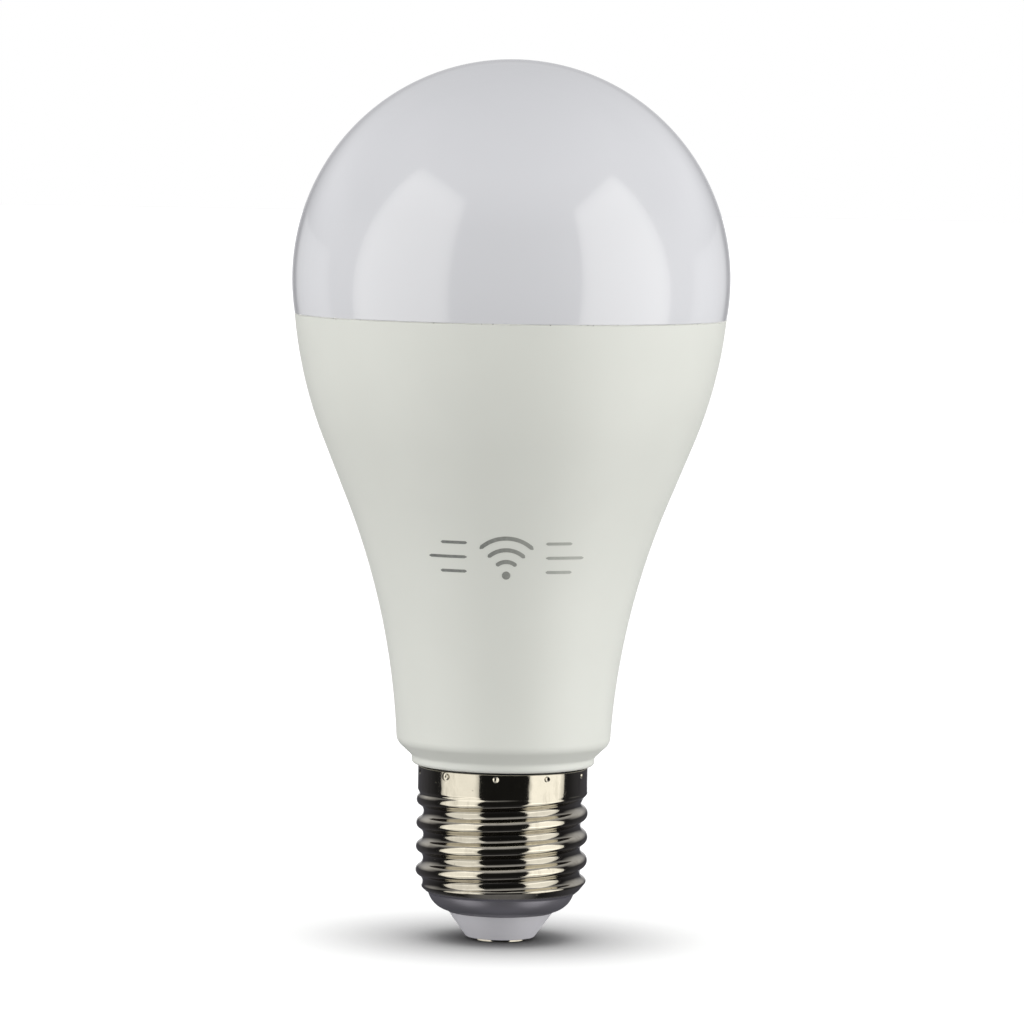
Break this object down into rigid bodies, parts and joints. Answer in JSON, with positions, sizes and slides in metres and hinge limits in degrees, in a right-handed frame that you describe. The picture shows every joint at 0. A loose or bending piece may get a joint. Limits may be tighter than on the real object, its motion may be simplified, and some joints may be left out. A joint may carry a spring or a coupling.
{
  "type": "smart light bulb",
  "caption": "Screw-cap smart LED bulb: milky globe on a flared housing, with LED board, radio board and mains driver inside.",
  "frame": {"origin": "middle of the centre contact's lower face, at the very bottom of the bulb", "axes": "+Z along the bulb's axis towards the globe, -Y is the front with the printed mark, +X is right of it"},
  "size_m": [0.067, 0.067, 0.135],
  "materials": {
    "globe": "milky translucent, glossy",
    "housing": "satin white",
    "silicone": "soft white silicone",
    "aluminium": "drawn, satin",
    "thermal_pad": "matte grey-blue",
    "white_solder_mask": "white solder mask on aluminium",
    "green_board": "green solder mask on glass-epoxy",
    "steel": "zinc-plated",
    "nickel": "nickel-plated, polished",
    "tinned_can": "tinned sheet",
    "copper": "copper",
    "gold_pin": "plated pins",
    "warm_phosphor": "amber phosphor in white body",
    "cool_phosphor": "yellow phosphor in white body",
    "white_package": "white LED body",
    "insulator": "smooth pale plastic",
    "black_plastic": "moulded",
    "ferrite": "sintered, matte",
    "blue_epoxy": "dipped epoxy",
    "yellow_tape": "film",
    "sleeve": "shrunk sleeve",
    "resistor_body": "lacquered",
    "red_wire": "insulated wire",
    "blue_wire": "insulated wire"
  },
  "bodies": {
    "root": {"diffuser_globe": "globe", "diffuser_sealant": "silicone", "housing_shell": "housing", "heat_sink_cup": "aluminium", "thermal_pad": "thermal_pad", "led_board": "white_solder_mask", "led_board_screws": "steel", "warm_leds": "warm_phosphor", "cool_leds": "cool_phosphor", "colour_leds": "white_package", "led_board_socket": "white_package", "driver_output_pins": "gold_pin", "wifi_board": "green_board", "wifi_shield_can": "tinned_can", "wifi_antenna": "copper", "wifi_header": "black_plastic", "driver_board": "green_board", "fuse_resistor": "resistor_body", "fuse_sleeve": "black_plastic", "varistor": "blue_epoxy", "bridge_rectifier": "black_plastic", "filter_inductor_core": "ferrite", "filter_inductor_winding": "copper", "film_capacitor": "yellow_tape", "bulk_capacitor_can": "aluminium", "bulk_capacitor_sleeve": "sleeve", "transformer_core": "ferrite", "transformer_bobbin": "black_plastic", "transformer_winding": "yellow_tape", "output_capacitor": "sleeve", "output_diode": "black_plastic", "driver_ic": "black_plastic", "smd_resistors": "black_plastic", "live_lead": "red_wire", "neutral_lead": "blue_wire", "screw_shell": "nickel", "cap_insulator": "insulator", "centre_contact": "nickel"}
  },
  "joints": []
}
